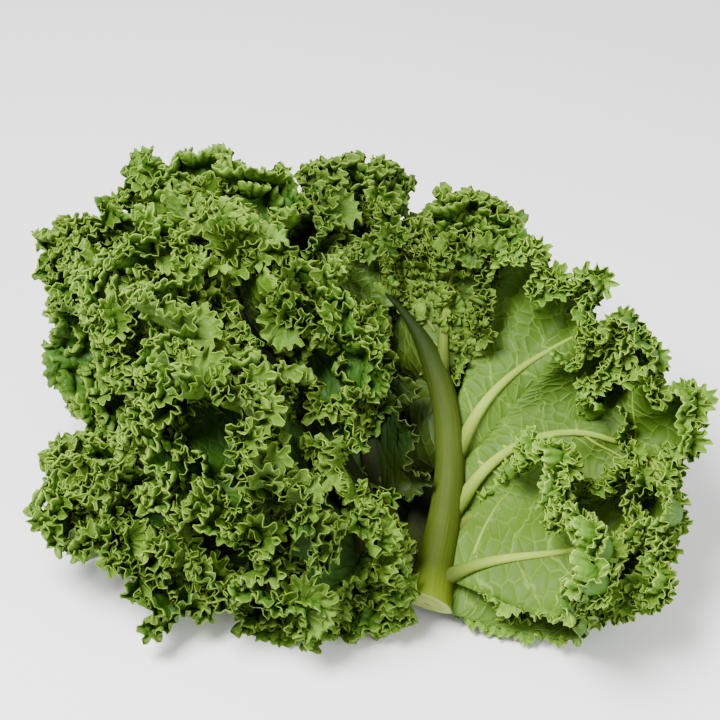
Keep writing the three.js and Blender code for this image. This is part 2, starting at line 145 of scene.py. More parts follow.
CLEAR_OF_BLADE = 1.5  # from a lobe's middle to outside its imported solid
COVERED_WITHIN = 7  # a leaf as near as this over a branch vein covers it
BESIDE_RIB = 4  # points of a branch vein that are on its rib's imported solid
STALK_SWELL_LENGTH = 0.3  # of the midrib
STALK_GROOVES = 0.012  # share of its radius
STALK_SIDES = 32
STALK_STEPS = 70

TOWARDS_FRONT = (0, -0.74, 0.67)

CAMERA_ELEVATION = 42
CAMERA_DISTANCE = 0.731
CAMERA_AIM = np.array([-3.0, 8.7, 64.7])
CAMERA_LENS = 85
CAMERA_SENSOR = 36
LIGHTS_AIM = (0, 0, 0.05)

# How far a colour's steps reach, and the rest that only the materials use.
BLADE_COLOUR_DEPTH = 40.0  # in from the edge, over which the painted highlight gives way to painted shade
# width of the painted highlight along the very edge
RIM_HIGHLIGHT_WIDTH = 0.4
VEIN_SPACING = 15.0
# the least that mottle and painted shade may darken a blade to
DARKEST_BLADE_SHADE = 0.25
FIBRE_RADIUS = 7.0
# length over which the stalk darkens towards its top, as painted shade
STALK_COLOUR_LENGTH = 140.0
RIB_COLOUR_LENGTH = 60.0

BLADE_SLOT = 0
STALK_SLOT = 1
STALK_PAINTED_SHADE = -3.6  # painted shade for stalks that lie in the shade

# The leaves as in the part's source, with what only the looks need:
#   shown        what differs here from the imported lobe, and stretch how much longer all of a leaf's lobes are
#   inner, bare  lobes deep inside, and lobes without a rib
#   sag          how deep the blade lies beside its ribs
#   pleat_start  share of a lobe that has no pleats
#   tone         steps lighter or darker than the rest, the darker ones set here being painted shade, and stalk_painted_shade painted shade on stalk and ribs
#   side_frills  sides of a lobe with ruffles along them
#   frill_depth  how far in from the edge rows of ruffles stand on the upper side, and back_frills on the back
#   frill_height, right_frills  their height, and the share of it that they have on the leaf's right
LEAVES = [
    dict(
        name="leaf_bottom",
        midrib=[(6, -48, 6), (10, 0, 10), (4, 46, 24), (-2, 84, 26)],
        faces=[(0, 0, 1), (0, 0, 1)],
        seed=8, pairs=3, start=0.15, reach=(82, 78), lift=(0, 0), curl=(-25, -25),
        frill_depth=15, stalk_painted_shade=STALK_PAINTED_SHADE,
    ),
    dict(
        name="leaf_right_front",
        midrib=[(23, -84, 14), (41, -34, 33), (41, 0, 71), (6, 30, 87)],
        faces=[(0.1, 0.74, -0.67), (0, 0.5, -0.8)],
        seed=1, stalk=7, rim_curl=4, rib_radius=2.5, stalk_swell=0.3, sag=4.5, pleat_start=0.7, tone=3,
        frill_height=5, curl_spacing=4, thinning=8, inner=(6, 7), bare=(6, 7, 8, 9),
        lobes=[
            dict(side=1, at=0.06, angle=70, lift=2, length=112, curl=-150, spread=21, rounding=0.3,
                 rib=(0.7, 0.9, 1), shown=dict(spread=19), back_frills=13),
            dict(side=1, at=0.15, angle=74, lift=-25, length=86, curl=-150, spread=29,
                 skew=0.28, rounding=0.1, rib=(-0.3, 0, 1), back_frills=13),
            dict(side=1, at=0.29, angle=88, lift=14, length=106, curl=-150, spread=19,
                 rounding=0.2, rib=(0.3, 0.5, 1), side_frills=()),
            dict(side=1, at=0.28, angle=61, lift=0, length=132, curl=-150, spread=28,
                 skew=0.05, rounding=0.2, rib=(0.7, 2.2, 2), shown=dict(rounding=0.3, length=127),
                 side_frills=(), frill_depth=22),
            dict(side=1, at=0.43, angle=45, lift=8, length=104, curl=-150, spread=26,
                 rounding=0.2, rib=(0.95, 1.3, 0.6), side_frills=(), back_frills=16),
            # This lobe and the last two are darkened with painted shade, as they lie in the shade.
            dict(side=1, at=0.74, angle=38, lift=0, length=52, curl=-110, spread=42, back_frills=44, tone=-5),
            dict(side=-1, at=0.2, angle=70, lift=75, length=42, curl=30, spread=45),
            dict(side=-1, at=0.47, angle=60, lift=70, length=45, curl=30, spread=45),
            dict(side=-1, at=0.72, angle=50, lift=50, length=40, curl=20, spread=45, tone=-7),
            dict(side=0, at=0.93, angle=0, lift=0, length=34, curl=-80, spread=60, tone=-6),
        ],
    ),
    dict(
        name="leaf_left_front",
        midrib=[(2, -70, 34), (-8, -58, 60), (-34, -24, 82), (-76, 4, 96)],
        faces=[TOWARDS_FRONT, (-0.3, -0.6, 0.75)],
        seed=2, pairs=5, start=0.02, reach=(72, 28), lift=(20, 25), curl=(65, 75), lower_curl=1,
        right_frills=0.5, stalk_painted_shade=STALK_PAINTED_SHADE,
        extra=[
            dict(side=-1, at=0.03, angle=186, lift=35, length=40, curl=40, spread=46),
            dict(side=1, at=0.06, angle=105, lift=70, length=30, curl=60, spread=50),
        ],
    ),
    dict(
        name="leaf_left_low",
        midrib=[(-8, -58, 8), (-40, -66, 18), (-80, -60, 22), (-108, -46, 30)],
        faces=[(0, -0.5, 0.87), (0, -0.4, 0.9)],
        seed=3, pairs=4, start=0, reach=(46, 52), lift=(20, 15), curl=(60, 50), lower_curl=1, stretch=1.05,
    ),
    dict(
        name="leaf_left_middle",
        midrib=[(-7, -56, 21), (-45, -30, 38), (-92, 14, 54), (-117, 58, 74)],
        faces=[TOWARDS_FRONT, (-0.4, -0.5, 0.75)],
        seed=9, pairs=4, start=0.2, reach=(54, 54), lift=(20, 20), curl=(65, 65),
    ),
    dict(
        name="leaf_left_back",
        midrib=[(-1, -54, 35), (-28, 0, 66), (-62, 38, 82), (-93, 66, 85)],
        faces=[TOWARDS_FRONT, (-0.2, -0.5, 0.8)],
        seed=4, pairs=4, start=0.3, reach=(54, 58), lift=(25, 25), curl=(70, 70), stalk_painted_shade=STALK_PAINTED_SHADE,
    ),
    dict(
        name="leaf_centre_back",
        midrib=[(8, -54, 21), (-2, -5, 52), (-6, 36, 78), (-6, 70, 86)],
        faces=[TOWARDS_FRONT, (0, -0.5, 0.8)],
        seed=5, pairs=4, start=0.15, reach=(54, 54), lift=(20, 20), curl=(65, 65),
        # Darkened all over with painted shade, as it lies deep in the bunch.
        tone=-2, stalk_painted_shade=STALK_PAINTED_SHADE, inner=(1,),
    ),
    dict(
        name="leaf_right_back",
        midrib=[(20, -53, 12), (33, -15, 36), (43, 32, 60), (46, 66, 70)],
        faces=[(0, -0.5, 0.8), (0, -0.5, 0.8)],
        seed=6, pairs=3, start=0.25, reach=(54, 50), lift=(20, 20), curl=(65, 65), stalk_painted_shade=STALK_PAINTED_SHADE,
    ),
    dict(
        name="leaf_right_low",
        midrib=[(34, -58, 7), (62, -54, 10), (84, -42, 12), (98, -26, 16)],
        faces=[(0, -0.2, 1), (0, -0.2, 1)],
        seed=7, pairs=2, start=0.25, reach=(42, 40), lift=(15, 15), curl=(50, 50),
    ),
]

# A lobe deep inside the bunch is plainer and shorter than its solid, and darkened with painted shade.
INNER_LOBE = dict(side_frills=(), frill_depth=0, tone=-9)
INNER_LENGTH = 0.7

# How a lobe may lean and shorten to stay clear of other leaves: extra lift in degrees, share of its length.
GIVE_WAY = [
    (lift, length)
    for length in (1, 0.85, 0.7, 0.55, 0.4, 0.28)
    for lift in (0, 15, -15, 30, -30, 45, -45, 60, -60)
]


# ---- small helpers

def draw(a, b=0, c=0):
    """A repeatable draw from -1 to 1 for these whole numbers."""
    v = math.sin(a * 12.9898 + b * 78.233 + c * 37.719) * 43758.5453
    return 2 * (v - math.floor(v)) - 1


def wobble(x, seed):
    """A smooth wobble of about -1 to 1: three sines that never repeat together."""
    a, b, c = (draw(seed, k, 5) * math.pi for k in range(3))
    return (np.sin(x + a) + 0.6 * np.sin(1.73 * x + b) + 0.5 * np.sin(2.91 * x + c)) / 1.6


def smooth(x, low, high):
    t = np.clip((x - low) / (high - low), 0, 1)
    return t * t * (3 - 2 * t)


def nearest_whole(x):
    return math.floor(x + 0.5)


def unit(v):
    return v / np.maximum(np.linalg.norm(v, axis=-1, keepdims=True), 1e-9)


def arc_length(points):
    return np.concatenate([[0], np.cumsum(np.linalg.norm(np.diff(points, axis=0), axis=1))])


def to_metres(points):
    return (points - MIDDLE) * MM


# ---- the form of a leaf

class Midrib:
    """The midrib as a Bezier curve with a frame: tangent, the leaf's upper side and its left."""

    def __init__(self, leaf):
        self.points = np.array(leaf["midrib"], float)
        self.faces = np.array(leaf["faces"], float)
        self.radius = leaf.get("stalk", STALK_RADIUS)

    def at(self, s):
        s = np.clip(np.asarray(s, float), 0, 1)[..., None]
        a, b, c, d = self.points
        k = 1 - s
        return k**3 * a + 3 * k * k * s * b + 3 * k * s * s * c + s**3 * d

    def frame(self, s):
        s = np.asarray(s, float)[..., None]
        a, b, c, d = self.points
        k = 1 - s
        tangent = unit(k * k * (b - a) + 2 * k * s * (c - b) + s * s * (d - c))
        up = k * self.faces[0] + s * self.faces[1]
        up = unit(up - (up * tangent).sum(-1, keepdims=True) * tangent)
        return tangent, up, np.cross(up, tangent)

    def radius_at(self, s):
        slim = (1 - STALK_TAPER * s**0.8) * (1 - STALK_TIP_TAPER * smooth(s, 0.65, 1))
        return self.radius * slim + STALK_FLARE * np.exp(-s / STALK_FLARE_LENGTH)


def paired_lobes(leaf):
    """Pairs of lobes along the midrib, larger in its middle, and one at the tip."""
    lobes = []
    blade_length = LEAF_END - leaf["start"]
    for pair in range(leaf["pairs"]):
        upper = pair % 2
        for k, side in enumerate((1, -1)):
            f = (pair + 0.5) / leaf["pairs"]
            size = math.sin(math.pi * (0.22 + 0.62 * f)) ** 0.8
            vary = [draw(leaf["seed"], pair * 2 + k, c) for c in range(7)]
            lobes.append(dict(
                side=side,
                at=leaf["start"] + blade_length * (f + 0.08 * side / leaf["pairs"]),
                root=0.55 * blade_length / leaf["pairs"],
                angle=78 - 38 * f + 6 * vary[1],
                lift=leaf["lift"][k] + 5 * vary[2] + (LAYER_ANGLE if upper else -LAYER_ANGLE),
                roll=8 * vary[3],
                length=leaf["reach"][k] * size * (1 + 0.08 * vary[4]),
                curl=leaf["curl"][k] * (1 if upper else leaf.get("lower_curl", LOWER_CURL)) + 5 * vary[5],
                cup=10 * vary[6],
                spread=LOBE_SPREAD,
            ))
    vary = [draw(leaf["seed"], leaf["pairs"] * 2, c) for c in range(7)]
    return lobes + [dict(
        side=0,
        at=TIP_LOBE_AT,
        angle=0,
        lift=5 + 6 * vary[2],
        roll=5 * vary[3],
        length=max(leaf["reach"]) * 0.75,
        curl=sum(leaf["curl"]) * 0.4,
        cup=10 * vary[6],
        spread=LOBE_TIP_SPREAD,
        rounding=EDGE_TIP_ROUNDING,
    )]


def lobes_of(leaf):
    """The lobes of a leaf, numbered: those that it lists, or else pairs of them and any extra ones."""
    lobes = leaf["lobes"] if "lobes" in leaf else paired_lobes(leaf) + leaf.get("extra", [])
    whole = []
    for i, lobe in enumerate(lobes):
        plain = dict(
            id=i, seed=leaf["seed"] * 100 + i, root=0.07 * abs(lobe["side"]), roll=0, cup=0, skew=0,
            rounding=EDGE_ROUNDING, rib=(0, 0, 1), rim_curl=leaf.get("rim_curl", 1), sag=leaf.get("sag", 0),
            pleat_start=leaf.get("pleat_start", PLEAT_START), tone=0, shown={}, side_frills=(1, -1),
            frill_depth=leaf.get("frill_depth", FRILL_DEPTH), back_frills=0,
            curl_spacing=leaf.get("curl_spacing", CURL_SPACING), thinning=leaf.get("thinning", THINNING),
            rows=FINE_ROWS if "lobes" in leaf else BLADE_ROWS,
        )
        whole.append({**plain, **lobe})
    return whole


def beside_rib(lobe, q, out):
    """How far a point of a lobe is beside its rib, in mm. The rib leaves the midrib at the first number of
    lobe["rib"], across, drops by the second at the edge, and does so late where the third is high."""
    start, drop, power = lobe["rib"]
    across = q - start + drop * np.maximum(out, 0) ** power
    return across * math.radians(lobe["spread"]) * lobe["length"] * out


def laid_flat(lobe, q, out):
    """Where points of a lobe are when it's laid flat, in mm: along its rib, and across it."""
    start, drop, power = lobe["rib"]
    angle = math.radians(lobe["spread"]) * (q - start + drop * NET_ALONG**power)
    reach = lobe["length"] * out
    return reach * np.cos(angle), reach * np.sin(angle)


def sagging(lobe, q, out):
    """How deep the blade lies beside the rib on its back, from 0 on the rib and at the edge to 1."""
    return (1 - np.exp(-((beside_rib(lobe, q, out) / SAG_WIDTH) ** 2))) * smooth(1 - out, 0, SAG_FADE)


def lobe_surface(lobe, midrib):
    """A lobe's plain surface, for across from -1 to 1 and out from 0 at the midrib to 1 at the edge."""
    tangent, up, left = midrib.frame(lobe["at"])
    angle, lift, roll, spread = (math.radians(lobe[k]) for k in ("angle", "lift", "roll", "spread"))
    side = lobe["side"]
    turn = side or 1
    if side:
        outwards = math.cos(lift) * side * left + math.sin(lift) * up
        normal = math.cos(lift) * up - math.sin(lift) * side * left
        axis = math.cos(angle) * tangent + math.sin(angle) * outwards
        across = math.sin(angle) * tangent - math.cos(angle) * outwards
    else:
        axis = math.cos(lift) * tangent + math.sin(lift) * up
        normal = math.cos(lift) * up - math.sin(lift) * tangent
        across = -left
    rolled_across = math.cos(roll) * across + math.sin(roll) * normal
    rolled_normal = math.cos(roll) * normal - math.sin(roll) * across

    def surface(q, out):
        q, out = np.broadcast_arrays(np.asarray(q, float), np.asarray(out, float))
        fan = spread * q * turn
        ray = np.cos(fan)[..., None] * axis + np.sin(fan)[..., None] * rolled_across
        length = lobe["length"] * (1 - lobe["rounding"] * np.abs(q) ** 3) * (1 - lobe["skew"] * q) * out
        curl = np.radians(lobe["curl"] + lobe["cup"] * q * q)
        bent = curl[..., None] * (np.maximum(out, 0)[..., None] * CURL_AT) ** lobe["rim_curl"]
        along = length * np.cos(bent).mean(-1)
        raised = length * np.sin(bent).mean(-1)
        raised = raised + lobe["sag"] * sagging(lobe, q, out)
        root = midrib.at(lobe["at"] + lobe["root"] * q * turn)
        return root + along[..., None] * ray + raised[..., None] * rolled_normal

    return surface


def surface_axes(surface, q, out):
    """A surface's direction across, and its normal."""
    h = SLOPE_STEP
    across = unit(surface(q + h, out) - surface(q - h, out))
    outwards = unit(surface(q, out + h) - surface(q, out - h))
    return across, unit(np.cross(across, outwards))


def folded(surface, wave):
    """A surface folded into waves that loop over a little, like the bends of a river."""
    def result(q, out):
        height, overhang, phase = wave(q, out)
        across, normal = surface_axes(surface, q, out)
        pushed = (height * np.cos(phase))[..., None] * normal
        swung = (overhang * height * np.sin(2 * phase))[..., None] * across
        return surface(q, out) + pushed + swung

    return result


def edge_length(lobe):
    return 2 * math.radians(lobe["spread"]) * lobe["length"] * 0.85 * EDGE_SURPLUS


def edge_steps(lobe):
    """Steps along a lobe's edge: one for each crest or hollow of a pleat."""
    return 2 * max(4, nearest_whole(edge_length(lobe) / PLEAT_SPACING))


def ruffled_surface(lobe, midrib):
    """The lobe with broad waves along its edge and pleats on top of them."""
    seed = lobe["seed"]
    folds = max(2, nearest_whole(edge_length(lobe) / FOLD_SPACING))
    quarter_turns = nearest_whole(2 * draw(seed, 7))
    steps = edge_steps(lobe)
    fold_height = min(FOLD_HEIGHT, 0.125 * lobe["length"])

    def broad(q, out):
        grows = smooth(out, 0.3, 1.05)
        height = fold_height * (1 + 0.3 * wobble(4 * q, seed + 1)) * grows
        phase = math.pi * folds * (q + 1) + 0.5 * wobble(3 * q, seed) + quarter_turns * math.pi / 2
        return height, FOLD_OVERHANG * grows, phase

    def narrow(q, out):
        grows = smooth(out, lobe["pleat_start"], 1.02)
        height = PLEAT_HEIGHT * (1 + 0.3 * wobble(9 * q, seed + 2)) * grows
        return height, PLEAT_OVERHANG * grows, math.pi * steps * (q + 1) / 2

    return folded(folded(lobe_surface(lobe, midrib), broad), narrow)


def pressed(points):
    """Leaf that would reach into the ground lies pressed against it."""
    z = points[..., 2]
    flattened = PRESSED_DEPTH * np.exp(np.minimum(z / PRESSED_DEPTH - 1, 0))
    points[..., 2] = np.where(z < PRESSED_DEPTH, flattened, z)
    return points


def as_packed(lobe, midrib, tree):
    """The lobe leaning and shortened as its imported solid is. Every lobe has one."""
    for lift, length in GIVE_WAY:
        tried = dict(lobe, lift=lobe["lift"] + lift, length=lobe["length"] * length)
        q = np.linspace(-1, 1, edge_steps(tried) + 1)
        edge = to_metres(pressed(ruffled_surface(tried, midrib)(q, np.ones_like(q))))
        gaps = [tree.find(p)[2] for p in edge]
        if np.median(gaps) < MATCH_GAP * MM:
            return {**tried, **lobe["shown"]}
    raise ValueError("a lobe matches nothing in its packed solid")


# ---- fine meshes

def placed(name, data):
    """An object for a mesh, light or camera, put in the scene."""
    obj = bpy.data.objects.new(name, data)
    bpy.context.scene.collection.objects.link(obj)
    return obj


class Mesh:
    """Vertices and triangles gathered with values for each vertex, and made into one object."""

    FIELDS = ("edge", "along", "across", "back", "tone")

    def __init__(self):
        self.points = []
        self.triangles = []
        self.values = {name: [] for name in self.FIELDS}
        self.slots = []
        self.count = 0

    def add(self, points, triangles, slot=BLADE_SLOT, **values):
        points = np.maximum(points.reshape(-1, 3), (-np.inf, -np.inf, 0))
        self.points.append(points)
        self.triangles.append(triangles + self.count)
        self.slots.append(np.full(len(triangles), slot))
        for name in self.FIELDS:
            value = np.reshape(values.get(name, 0.0), -1)
            self.values[name].append(np.broadcast_to(value, len(points)))
        self.count += len(points)

    def build(self, name, materials):
        points = to_metres(np.concatenate(self.points))
        triangles = np.concatenate(self.triangles)
        mesh = bpy.data.meshes.new(name)
        mesh.vertices.add(len(points))
        mesh.vertices.foreach_set("co", points.astype(np.float32).ravel())
        mesh.loops.add(triangles.size)
        mesh.loops.foreach_set("vertex_index", triangles.astype(np.int32).ravel())
        mesh.polygons.add(len(triangles))
        mesh.polygons.foreach_set("loop_start", np.arange(0, triangles.size, 3, dtype=np.int32))
        mesh.polygons.foreach_set("material_index", np.concatenate(self.slots).astype(np.int32))
        mesh.update(calc_edges=True)
        mesh.validate()
        for field in self.FIELDS:
            attribute = mesh.attributes.new(field, "FLOAT", "POINT")
            attribute.data.foreach_set("value", np.concatenate(self.values[field]).astype(np.float32))
        mesh.shade_smooth()
        for material in materials:
            mesh.materials.append(material)
        return placed(name, mesh)


def zipped(row_a, row_b):
    """Triangles between two rows of vertices, stepping along whichever row is behind."""
    place = np.concatenate([np.linspace(0, 1, len(row_a))[1:], np.linspace(0, 1, len(row_b))[1:]])
    from_a = np.arange(len(place)) < len(row_a) - 1
    order = np.argsort(place, kind="stable")
    from_a = from_a[order]
    a = np.cumsum(from_a)
    b = np.cumsum(~from_a)
    step_a = np.stack([row_a[np.maximum(a - 1, 0)], row_a[a], row_b[b]], axis=1)
    step_b = np.stack([row_a[a], row_b[b], row_b[np.maximum(b - 1, 0)]], axis=1)
    return np.where(from_a[:, None], step_a, step_b)


def grid_axes(points, distances):
    """For a grid of points, by columns along the edge and rows towards it: across, normal and outwards."""
    across = unit(np.gradient(points, axis=0))
    outwards = unit(-np.gradient(points, distances, axis=1))
    return across, unit(np.cross(across, outwards)), outwards


def curled(points, distances, arc_at, seed, spacing):
    """A grid with small curls and teeth along its edge. Where the curls are wide they are also high."""
    across, normal, outwards = grid_axes(points, distances)
    spacing = spacing * (1 + CURL_VARIATION * wobble(arc_at / 5, seed + 3))
    phase = np.cumsum(2 * math.pi * np.gradient(arc_at) / spacing)[:, None]
    grows = smooth(CURL_DEPTH - distances, 0, CURL_DEPTH)[None, :]
    height = (CURL_HEIGHT * spacing * (1 + 0.35 * wobble(arc_at / 2.5, seed + 4)))[:, None] * grows
    crest = 0.85 * np.cos(phase) + 0.35 * np.cos(1.7 * phase + seed)
    tooth = np.abs(np.cos(phase / 2 + wobble(arc_at / 9, seed + 5)[:, None])) ** 3
    tooth = TOOTH_LENGTH * (tooth - 0.4 + 0.6 * wobble(arc_at / 2.5, seed + 6)[:, None])
    points = points + (height * crest)[..., None] * normal
    points = points + (CURL_OVERHANG * height * grows * np.sin(2 * phase))[..., None] * across
    return points + (tooth * smooth(TOOTH_DEPTH - distances, 0, TOOTH_DEPTH)[None, :])[..., None] * outwards


def lobe_grid(surface, lobe):
    """A lobe's surface as a dense grid, by columns along its edge and rows in from it: its points, the rows'
    distances from the edge, and its veins' places along the rib and across it."""
    q = np.linspace(-1, 1, 15)
    is_open = open_sky(surface(q, np.ones_like(q)), 0).mean() > OPEN
    dense = np.linspace(-1, 1, EDGE_POINTS)
    arc = arc_length(surface(dense, np.ones_like(dense)))
    sample = SAMPLE if is_open else SHADED_SAMPLE
    arc_at = np.linspace(0, arc[-1], max(LEAST_COLUMNS, nearest_whole(arc[-1] / sample)) + 1)
    q = np.interp(arc_at, arc, dense)[:, None]
    distances = np.array([d for d in lobe["rows"] if d < ROWS_WITHIN * lobe["length"]] + [lobe["length"]])
    out = (1 - distances / lobe["length"])[None, :]
    points = curled(surface(q, out), distances, arc_at, lobe["seed"], lobe["curl_spacing"])
    return pressed(points), distances, *laid_flat(lobe, q, out)


def inner_line(lobe, from_edge, seed):
    """A line across a lobe, about this far in from its edge."""
    t = np.linspace(-1, 1, LINE_POINTS)
    return FRILL_WIDTH * t, 1 - (from_edge + 3 * wobble(6 * t, seed)) / lobe["length"]


def side_line(side, seed):
    """A line along one side of a lobe, in the direction that keeps the lobe on its right."""
    t = np.linspace(-1, 1, LINE_POINTS)
    return side * (0.95 + 0.04 * wobble(5 * t, seed)), 0.58 - 0.38 * side * t


def frill_grids(surface, lobe, line, face, height, lean, seed):
    """A frill that stands on a line on a lobe, as dense grids like the lobe's own: one for each stretch of it
    that can be seen."""
    t = np.linspace(-1, 1, LINE_POINTS)
    q, out = line
    h = SLOPE_STEP
    base = surface(q, out)
    normal = unit(np.cross(
        surface(q + h, out) - surface(q - h, out),
        surface(q, out + h) - surface(q, out - h),
    ))
    outwards = unit(np.cross(normal, np.gradient(base, axis=0)))
    normal = face * normal
    reach = height * (1 + 0.3 * wobble(5 * t, seed + 1)) * np.sqrt(smooth(1 - np.abs(t), 0, 0.25))
    lean = np.radians(lean + 30 * wobble(4 * t, seed + 2))
    distances = height * np.array(FRILL_ROWS)
    u = 1 - distances / height
    angle = lean[:, None, None] - math.radians(FRILL_BEND) * u[None, :, None] * CURL_AT
    forwards = reach[:, None] * u * np.cos(angle).mean(-1)
    raised = reach[:, None] * u * np.sin(angle).mean(-1) - FRILL_SUNK
    points = base[:, None] + forwards[..., None] * outwards[:, None] + raised[..., None] * normal[:, None]

    across, normal, _ = grid_axes(points, distances)
    run = arc_length(base)
    phase = (2 * math.pi * run / PLEAT_SPACING + 1.2 * wobble(run / 12, seed + 3))[:, None]
    pleat = FRILL_PLEAT * height * (1 + 0.3 * wobble(run / 9, seed + 4))[:, None]
    pleat = pleat * smooth(u, -0.1, 1)[None, :]
    points = points + (pleat * np.cos(phase))[..., None] * normal
    points = points + (PLEAT_OVERHANG * pleat * np.sin(2 * phase))[..., None] * across

    arc = arc_length(points[:, 0])
    sky = np.interp(t, t[::SKY_STRIDE], open_sky(points[::SKY_STRIDE, 0], lobe["sag"]))
    changes = np.flatnonzero(np.diff(np.concatenate([[False], sky > HIDDEN, [False]])))
    grids = []
    for first, last in changes.reshape(-1, 2):
        start, end = arc[first], arc[last - 1]
        if end - start < SHORTEST_FRILL:
            continue
        sample = SAMPLE if sky[first:last].mean() > OPEN else SHADED_SAMPLE
        arc_at = np.linspace(start, end, nearest_whole((end - start) / sample) + 1)
        after = np.clip(np.searchsorted(arc, arc_at), 1, len(arc) - 1)
        share = ((arc_at - arc[after - 1]) / (arc[after] - arc[after - 1]))[:, None, None]
        stretch = (1 - share) * points[after - 1] + share * points[after]
        stretch = pressed(curled(stretch, distances, arc_at, seed, lobe["curl_spacing"]))
        along = np.broadcast_to(FRILL_NET_FROM - distances[None, :], stretch.shape[:2])
        grids.append((stretch, distances, along, np.broadcast_to(arc_at[:, None], stretch.shape[:2])))
    return grids


def add_sheet(mesh, points, distances, along, sideways, tone, thinning=THINNING):
    """Both faces of a blade given as a grid, and the rim between them. Rows have fewer columns inwards."""
    _, normal, _ = grid_axes(points, distances)
    columns = len(points) - 1
    fields = dict(edge=np.broadcast_to(distances, points.shape[:2]), along=along, across=sideways)
    rows, picked = [], []
    count = 0
    for row, distance in enumerate(distances):
        parts = max(4, round(columns / (1 + max(0, distance - 0.6) / thinning)))
        pick = np.unique(np.round(np.linspace(0, columns, parts + 1)).astype(int))
        picked.append(pick * len(distances) + row)
        rows.append(count + np.arange(len(pick)))
        count += len(pick)
    picked = np.concatenate(picked)
    middle = points.reshape(-1, 3)[picked]
    values = {name: field.reshape(-1)[picked] for name, field in fields.items()}
    sheet = np.concatenate([zipped(rows[i + 1], rows[i]) for i in range(len(rows) - 1)])

    # The two faces meet in the outer edge: the under face uses the upper one's first row.
    edge = len(rows[0])
    under_index = np.arange(count) + count - edge
    under_index[:edge] = np.arange(edge)
    thickness = np.full(count, BLADE_THICKNESS)
    thickness[:edge] = 0
    shift = normal.reshape(-1, 3)[picked] * thickness[:, None] / 2
    outline = np.concatenate([
        [row[-1] for row in rows[:-1]],
        rows[-1][::-1],
        [row[0] for row in rows[:-1]][::-1],
    ])
    a, b = outline[:-1], outline[1:]
    rim = np.concatenate([
        np.stack([a, b, under_index[b]], axis=1),
        np.stack([a, under_index[b], under_index[a]], axis=1),
    ])
    rim = rim[(rim != np.roll(rim, 1, axis=1)).all(axis=1)]
    triangles = np.concatenate([sheet, under_index[sheet[:, ::-1]], rim])
    both = {name: np.concatenate([value, value[edge:]]) for name, value in values.items()}
    back = np.repeat([0.0, 1.0], [count, count - edge])
    points = np.concatenate([middle + shift, (middle - shift)[edge:]])
    mesh.add(points, triangles, back=back, tone=tone, **both)


def sky_directions():
    """Directions spread evenly over the sky, from the horizon up."""
    directions = []
    for elevation, count in ((5, 10), (30, 9), (55, 6), (85, 2)):
        e = math.radians(elevation)
        for k in range(count):
            a = 2 * math.pi * k / count + e
            directions.append(Vector((math.cos(e) * math.cos(a), math.cos(e) * math.sin(a), math.sin(e))))
    return directions


def packed_shapes():
    """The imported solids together, to find what hides what."""
    points, triangles = [], []
    for leaf in LEAVES:
        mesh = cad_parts[leaf["name"]].data
        first = len(points)
        points.extend(vertex.co.copy() for vertex in mesh.vertices)
        triangles.extend([first + i for i in polygon.vertices] for polygon in mesh.polygons)
    return BVHTree.FromPolygons(points, triangles)


def open_sky(points, sag):
    """The share of the sky that is seen from each point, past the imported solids."""
    starts = [Vector(p) for p in to_metres(points)]
    clear = (CLEAR_OF_BLADE + sag) * MM
    seen = [[SOLIDS.ray_cast(p + clear * way, way)[0] is None for way in SKY] for p in starts]
    return np.mean(seen, axis=1)


def add_lobe(blades, frills, lobe, midrib, leaf):
    """A lobe's blade, and the frills that stand on it along its sides and in rows from its edge inwards."""
    seed = lobe["seed"]
    # The leaf's and the lobe's steps lighter or darker, those set darker being painted shade for parts deep in
    # the bunch, and a random step of the lobe's own.
    tone = leaf.get("tone", 0) + lobe["tone"] + draw(seed, 11)
    surface = ruffled_surface(lobe, midrib)
    add_sheet(blades, *lobe_grid(surface, lobe), tone, lobe["thinning"])

    height = leaf.get("frill_height", FRILL_HEIGHT)
    if lobe["side"] == -1:
        height *= leaf.get("right_frills", 1)
    spacing = FRILL_SPACING * height / FRILL_HEIGHT
    depth = min(FRILL_REACH * lobe["length"], lobe["frill_depth"])
    lines = [
        (side_line(side, 53 * seed + side), 1, SIDE_FRILL_HEIGHT * height, SIDE_FRILL_LEAN)
        for side in lobe["side_frills"]
    ]
    for face, reach in ((1, depth), (-1, lobe["back_frills"])):
        for row, from_edge in enumerate(np.arange(0.8 * spacing, reach, spacing)):
            lines.append((inner_line(lobe, from_edge, 31 * seed + 7 * row), face, height, FRILL_LEAN))
    for k, line in enumerate(lines):
        for grid in frill_grids(surface, lobe, *line, 17 * seed + k):
            add_sheet(frills, *grid, tone)


def fan(ring):
    """Triangles that close a ring of vertices."""
    first = np.full(len(ring) - 2, ring[0])
    return np.stack([first, ring[1:-1], ring[2:]], axis=1)


def between_rings(count, sides):
    """Triangles between rings of vertices that follow one another."""
    index = np.arange(count * sides).reshape(count, sides)
    a, b = index[:-1], index[1:]
    a2, b2 = np.roll(a, -1, axis=1), np.roll(b, -1, axis=1)
    return np.concatenate([
        np.stack([a, a2, b], axis=-1).reshape(-1, 3),
        np.stack([a2, b2, b], axis=-1).reshape(-1, 3),
    ])


